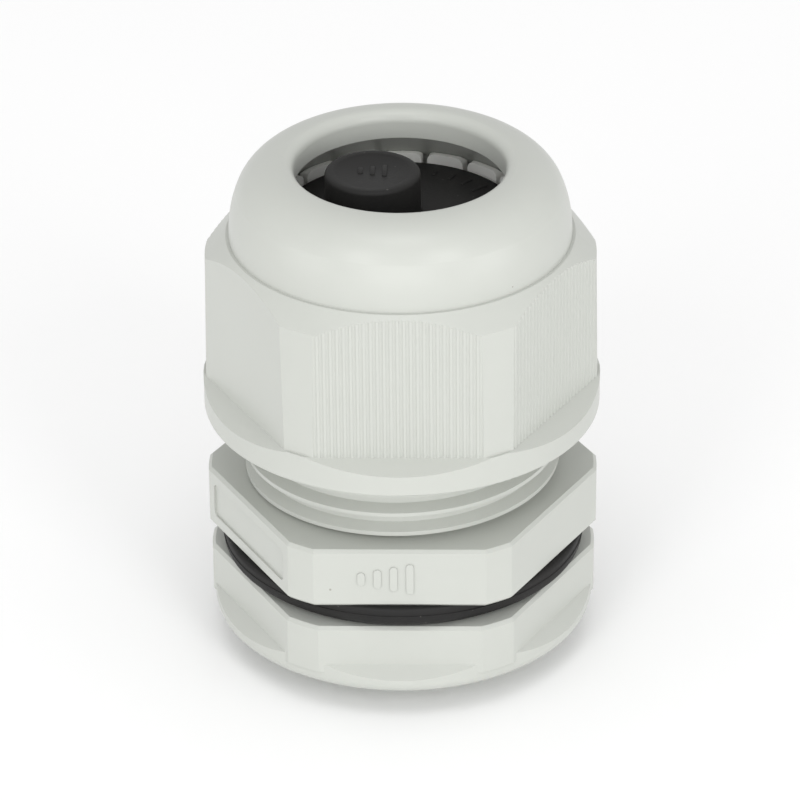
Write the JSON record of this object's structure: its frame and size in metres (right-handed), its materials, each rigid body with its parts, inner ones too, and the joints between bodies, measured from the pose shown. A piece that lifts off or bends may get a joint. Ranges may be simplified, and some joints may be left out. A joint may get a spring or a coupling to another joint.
{
  "type": "cable gland",
  "caption": "Light-grey nylon cable gland: dome nut, clamping fingers round a rubber seal with a plug, threaded body, gasket and lock nut.",
  "frame": {"origin": "centre of the spigot's lower end, on the gland's axis", "axes": "+Z along the axis, from the spigot to the dome nut's mouth; a flat of every hexagon faces -Y"},
  "size_m": [0.037, 0.037, 0.0487],
  "materials": {
    "grey_nylon": "light-grey moulded polyamide, satin",
    "pale_nylon": "pale moulded polyamide, satin",
    "black_rubber": "black moulded rubber, matt"
  },
  "bodies": {
    "gland_body": {"gland_body": "grey_nylon"},
    "clamping_cage": {"cage_ring": "pale_nylon", "seal_insert": "black_rubber"},
    "dome_nut": {"dome_nut": "grey_nylon"},
    "seal_plug": {"seal_plug": "black_rubber"},
    "gasket": {"gasket": "black_rubber"},
    "lock_nut": {"lock_nut": "grey_nylon"},
    "finger_01": {"clamping_finger_01": "pale_nylon"},
    "finger_02": {"clamping_finger_02": "pale_nylon"},
    "finger_03": {"clamping_finger_03": "pale_nylon"},
    "finger_04": {"clamping_finger_04": "pale_nylon"},
    "finger_05": {"clamping_finger_05": "pale_nylon"},
    "finger_06": {"clamping_finger_06": "pale_nylon"},
    "finger_07": {"clamping_finger_07": "pale_nylon"},
    "finger_08": {"clamping_finger_08": "pale_nylon"},
    "finger_09": {"clamping_finger_09": "pale_nylon"},
    "finger_10": {"clamping_finger_10": "pale_nylon"},
    "finger_11": {"clamping_finger_11": "pale_nylon"},
    "finger_12": {"clamping_finger_12": "pale_nylon"},
    "finger_13": {"clamping_finger_13": "pale_nylon"},
    "finger_14": {"clamping_finger_14": "pale_nylon"},
    "finger_15": {"clamping_finger_15": "pale_nylon"},
    "finger_16": {"clamping_finger_16": "pale_nylon"},
    "finger_17": {"clamping_finger_17": "pale_nylon"},
    "finger_18": {"clamping_finger_18": "pale_nylon"}
  },
  "joints": [
    {"name": "cage_lift", "type": "slide", "parent": "gland_body", "child": "clamping_cage", "axis": [0, 0, 1], "range_m": [-0.001, 0.006]},
    {"name": "nut_turn", "type": "hinge", "parent": "clamping_cage", "child": "dome_nut", "pos_m": [0, 0, 0.0338], "axis": [0, 0, 1], "range_deg": [-180, 1080]},
    {"name": "plug_pull", "type": "slide", "parent": "clamping_cage", "child": "seal_plug", "axis": [0, 0, 1], "range_m": [0, 0.018]},
    {"name": "finger_01_flex", "type": "hinge", "parent": "clamping_cage", "child": "finger_01", "pos_m": [0.01201, 0.00212, 0.0343], "axis": [0.1736, -0.9848, 0], "range_deg": [0, 3]},
    {"name": "finger_02_flex", "type": "hinge", "parent": "clamping_cage", "child": "finger_02", "pos_m": [0.01057, 0.0061, 0.0343], "axis": [0.5, -0.866, 0], "range_deg": [0, 3]},
    {"name": "finger_03_flex", "type": "hinge", "parent": "clamping_cage", "child": "finger_03", "pos_m": [0.00784, 0.00935, 0.0343], "axis": [0.766, -0.6428, 0], "range_deg": [0, 3]},
    {"name": "finger_04_flex", "type": "hinge", "parent": "clamping_cage", "child": "finger_04", "pos_m": [0.00417, 0.01146, 0.0343], "axis": [0.9397, -0.342, 0], "range_deg": [0, 3]},
    {"name": "finger_05_flex", "type": "hinge", "parent": "clamping_cage", "child": "finger_05", "pos_m": [0, 0.0122, 0.0343], "axis": [1, 0, 0], "range_deg": [0, 3]},
    {"name": "finger_06_flex", "type": "hinge", "parent": "clamping_cage", "child": "finger_06", "pos_m": [-0.00417, 0.01146, 0.0343], "axis": [0.9397, 0.342, 0], "range_deg": [0, 3]},
    {"name": "finger_07_flex", "type": "hinge", "parent": "clamping_cage", "child": "finger_07", "pos_m": [-0.00784, 0.00935, 0.0343], "axis": [0.766, 0.6428, 0], "range_deg": [0, 3]},
    {"name": "finger_08_flex", "type": "hinge", "parent": "clamping_cage", "child": "finger_08", "pos_m": [-0.01057, 0.0061, 0.0343], "axis": [0.5, 0.866, 0], "range_deg": [0, 3]},
    {"name": "finger_09_flex", "type": "hinge", "parent": "clamping_cage", "child": "finger_09", "pos_m": [-0.01201, 0.00212, 0.0343], "axis": [0.1736, 0.9848, 0], "range_deg": [0, 3]},
    {"name": "finger_10_flex", "type": "hinge", "parent": "clamping_cage", "child": "finger_10", "pos_m": [-0.01201, -0.00212, 0.0343], "axis": [-0.1736, 0.9848, 0], "range_deg": [0, 3]},
    {"name": "finger_11_flex", "type": "hinge", "parent": "clamping_cage", "child": "finger_11", "pos_m": [-0.01057, -0.0061, 0.0343], "axis": [-0.5, 0.866, 0], "range_deg": [0, 3]},
    {"name": "finger_12_flex", "type": "hinge", "parent": "clamping_cage", "child": "finger_12", "pos_m": [-0.00784, -0.00935, 0.0343], "axis": [-0.766, 0.6428, 0], "range_deg": [0, 3]},
    {"name": "finger_13_flex", "type": "hinge", "parent": "clamping_cage", "child": "finger_13", "pos_m": [-0.00417, -0.01146, 0.0343], "axis": [-0.9397, 0.342, 0], "range_deg": [0, 3]},
    {"name": "finger_14_flex", "type": "hinge", "parent": "clamping_cage", "child": "finger_14", "pos_m": [0, -0.0122, 0.0343], "axis": [-1, 0, 0], "range_deg": [0, 3]},
    {"name": "finger_15_flex", "type": "hinge", "parent": "clamping_cage", "child": "finger_15", "pos_m": [0.00417, -0.01146, 0.0343], "axis": [-0.9397, -0.342, 0], "range_deg": [0, 3]},
    {"name": "finger_16_flex", "type": "hinge", "parent": "clamping_cage", "child": "finger_16", "pos_m": [0.00784, -0.00935, 0.0343], "axis": [-0.766, -0.6428, 0], "range_deg": [0, 3]},
    {"name": "finger_17_flex", "type": "hinge", "parent": "clamping_cage", "child": "finger_17", "pos_m": [0.01057, -0.0061, 0.0343], "axis": [-0.5, -0.866, 0], "range_deg": [0, 3]},
    {"name": "finger_18_flex", "type": "hinge", "parent": "clamping_cage", "child": "finger_18", "pos_m": [0.01201, -0.00212, 0.0343], "axis": [-0.1736, -0.9848, 0], "range_deg": [0, 3]},
    {"name": "gasket_slide", "type": "slide", "parent": "gland_body", "child": "gasket", "axis": [0, 0, -1], "range_m": [0, 0.0073]},
    {"name": "lock_nut_turn", "type": "hinge", "parent": "gasket", "child": "lock_nut", "pos_m": [0, 0, 0.0055], "axis": [0, 0, 1], "range_deg": [-1440, 0]}
  ],
  "couplings": [
    {"joint": "cage_lift", "follows": "nut_turn", "m_per_rad": 0.00031831},
    {"joint": "gasket_slide", "follows": "lock_nut_turn", "m_per_rad": -0.00028871},
    {"joint": "finger_02_flex", "follows": "finger_01_flex", "ratio": 1},
    {"joint": "finger_03_flex", "follows": "finger_01_flex", "ratio": 1},
    {"joint": "finger_04_flex", "follows": "finger_01_flex", "ratio": 1},
    {"joint": "finger_05_flex", "follows": "finger_01_flex", "ratio": 1},
    {"joint": "finger_06_flex", "follows": "finger_01_flex", "ratio": 1},
    {"joint": "finger_07_flex", "follows": "finger_01_flex", "ratio": 1},
    {"joint": "finger_08_flex", "follows": "finger_01_flex", "ratio": 1},
    {"joint": "finger_09_flex", "follows": "finger_01_flex", "ratio": 1},
    {"joint": "finger_10_flex", "follows": "finger_01_flex", "ratio": 1},
    {"joint": "finger_11_flex", "follows": "finger_01_flex", "ratio": 1},
    {"joint": "finger_12_flex", "follows": "finger_01_flex", "ratio": 1},
    {"joint": "finger_13_flex", "follows": "finger_01_flex", "ratio": 1},
    {"joint": "finger_14_flex", "follows": "finger_01_flex", "ratio": 1},
    {"joint": "finger_15_flex", "follows": "finger_01_flex", "ratio": 1},
    {"joint": "finger_16_flex", "follows": "finger_01_flex", "ratio": 1},
    {"joint": "finger_17_flex", "follows": "finger_01_flex", "ratio": 1},
    {"joint": "finger_18_flex", "follows": "finger_01_flex", "ratio": 1}
  ]
}
